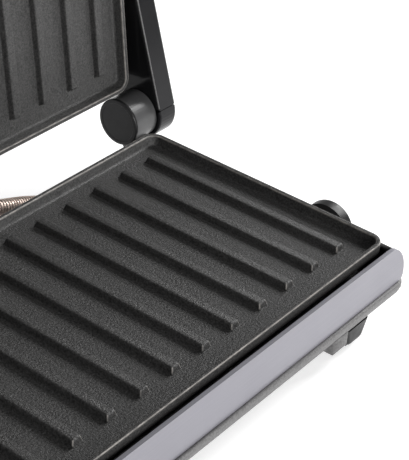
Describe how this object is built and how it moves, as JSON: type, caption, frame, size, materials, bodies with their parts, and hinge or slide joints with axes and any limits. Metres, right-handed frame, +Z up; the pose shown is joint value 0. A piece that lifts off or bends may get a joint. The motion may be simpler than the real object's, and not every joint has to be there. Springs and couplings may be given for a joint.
{
  "type": "panini press",
  "caption": "Open countertop contact grill: two ribbed plates, the upper one in a lid that floats on hinged side arms with a cross handle.",
  "frame": {"origin": "on the table under the middle of the open press's bounding box", "axes": "+X to the right seen from the front, along the hinge; +Y to the back; +Z up"},
  "size_m": [0.275, 0.2339, 0.2532],
  "materials": {
    "nonstick_coating": "fine speckled dark non-stick coating on die-cast aluminium",
    "grey_plastic": "finely textured mid-grey",
    "black_plastic": "satin black",
    "gloss_black": "glossy black",
    "satin_silver": "satin silver paint on plastic, with a slight lavender tint",
    "steel": "plain steel",
    "aluminium_sheet": "bright rolled sheet",
    "rubber": "matt black",
    "conduit_metal": "finely ribbed, warm beige metal",
    "ceramic": "off-white ceramic",
    "red_lens": "clear red",
    "green_lens": "clear green"
  },
  "bodies": {
    "base": {"base_housing": "grey_plastic", "base_tray": "grey_plastic", "front_fascia": "satin_silver", "lower_grill_plate": "nonstick_coating", "lower_heating_element": "steel", "lower_heat_reflector": "aluminium_sheet", "lower_element_clamp_left": "steel", "lower_element_clamp_right": "steel", "thermostat": "ceramic", "terminal_block": "ceramic", "thermal_fuse": "ceramic", "tray_screw_1": "steel", "tray_screw_2": "steel", "tray_screw_3": "steel", "tray_screw_4": "steel", "cord_gland": "black_plastic", "conduit_bush_lower": "black_plastic", "wire_conduit": "conduit_metal", "hinge_barrel_left": "black_plastic", "hinge_barrel_right": "black_plastic", "barrel_cap_left": "black_plastic", "barrel_cap_right": "black_plastic", "foot_front_left": "black_plastic", "foot_front_right": "black_plastic", "foot_rear_left": "black_plastic", "foot_rear_right": "black_plastic", "foot_pad_front_left": "rubber", "foot_pad_front_right": "rubber", "foot_pad_rear_left": "rubber", "foot_pad_rear_right": "rubber"},
    "knob": {"temperature_knob": "black_plastic", "thermostat_shaft": "steel"},
    "bail": {"arm_left": "gloss_black", "arm_right": "gloss_black", "arm_knuckle_left": "gloss_black", "arm_knuckle_right": "gloss_black", "hinge_pin_left": "steel", "hinge_pin_right": "steel", "handle_grip": "black_plastic"},
    "lid": {"upper_grill_plate": "nonstick_coating", "lid_frame": "gloss_black", "lid_cover": "gloss_black", "lid_panel": "satin_silver", "conduit_bush_upper": "black_plastic", "upper_heating_element": "steel", "upper_heat_reflector": "aluminium_sheet", "upper_element_clamp_left": "steel", "upper_element_clamp_right": "steel", "power_lens": "red_lens", "ready_lens": "green_lens", "float_pin_left": "steel", "float_pin_right": "steel"}
  },
  "joints": [
    {"name": "lid_hinge", "type": "hinge", "parent": "base", "child": "bail", "pos_m": [0, 0.05, 0.0467], "axis": [1, 0, 0], "range_deg": [0, 96.8], "deforming": ["wire_conduit"]},
    {"name": "lid_float", "type": "slide", "parent": "bail", "child": "lid", "axis": [0, 0.993, -0.1184], "range_m": [0, 0.012]},
    {"name": "knob_turn", "type": "hinge", "parent": "base", "child": "knob", "pos_m": [0.1274, -0.0668, 0.024], "axis": [1, 0, 0], "range_deg": [0, 270]}
  ]
}
